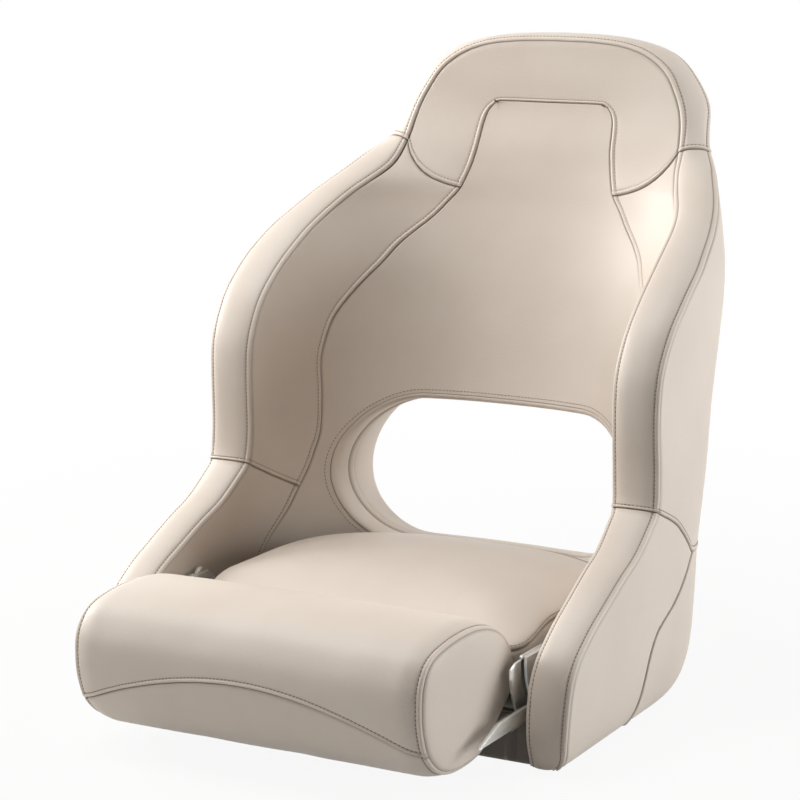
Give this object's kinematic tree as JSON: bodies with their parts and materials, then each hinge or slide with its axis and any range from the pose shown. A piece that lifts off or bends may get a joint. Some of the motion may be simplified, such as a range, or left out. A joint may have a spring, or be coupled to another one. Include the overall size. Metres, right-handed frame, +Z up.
{
  "type": "helm seat",
  "caption": "Upholstered bucket helm seat with a through opening in the lower back, a rimmed headrest and a front bolster that flips up on side hinges.",
  "frame": {"origin": "centre of the flat underside that bolts to a pedestal", "axes": "X is the width, -Y is the seat's front, +Z is up"},
  "size_m": [0.5564, 0.7489, 0.6952],
  "materials": {
    "vinyl": "fine-grained upholstery vinyl, satin",
    "foam": "matte foam",
    "plywood": "sealed plywood",
    "shell_plastic": "moulded, matte",
    "steel": "stainless, satin",
    "bronze": "plain bearing bronze"
  },
  "bodies": {
    "seat": {"frame_shell": "shell_plastic", "base_board": "plywood", "pedestal_insert_1": "steel", "pedestal_insert_2": "steel", "pedestal_insert_3": "steel", "pedestal_insert_4": "steel", "seat_board": "plywood", "seat_cushion": "vinyl", "back_insert": "vinyl", "wing_inner_right": "vinyl", "wing_inner_left": "vinyl", "arm_inner_right": "vinyl", "arm_inner_left": "vinyl", "headrest_pad": "vinyl", "side_outer_right": "vinyl", "side_outer_left": "vinyl", "arm_outer_right": "vinyl", "arm_outer_left": "vinyl", "back_outer": "vinyl", "back_lower": "vinyl", "headrest_back": "vinyl", "rim_lower_right": "vinyl", "rim_lower_left": "vinyl", "rim_upper_right": "vinyl", "rim_upper_left": "vinyl", "headrest_rim": "vinyl", "opening_lining": "vinyl", "hinge_plate_right": "steel", "hinge_plate_left": "steel", "pivot_pin_right": "steel", "pivot_pin_left": "steel", "pivot_nut_right": "steel", "pivot_nut_left": "steel", "stop_pin_right": "steel", "stop_pin_left": "steel"},
    "bolster": {"bolster_top": "vinyl", "bolster_front": "vinyl", "bolster_cap_right": "vinyl", "bolster_cap_left": "vinyl", "bolster_board": "plywood", "bolster_core": "foam", "bolster_underside": "vinyl", "carrier_arm_right": "steel", "carrier_arm_left": "steel", "pivot_bush_right": "bronze", "pivot_bush_left": "bronze", "carrier_screw_right_1": "steel", "carrier_screw_right_2": "steel", "carrier_screw_left_1": "steel", "carrier_screw_left_2": "steel"}
  },
  "joints": [
    {"name": "bolster_flip", "type": "hinge", "parent": "seat", "child": "bolster", "pos_m": [0, -0.064, 0.105], "axis": [-1, 0, 0], "range_deg": [0, 90]}
  ]
}
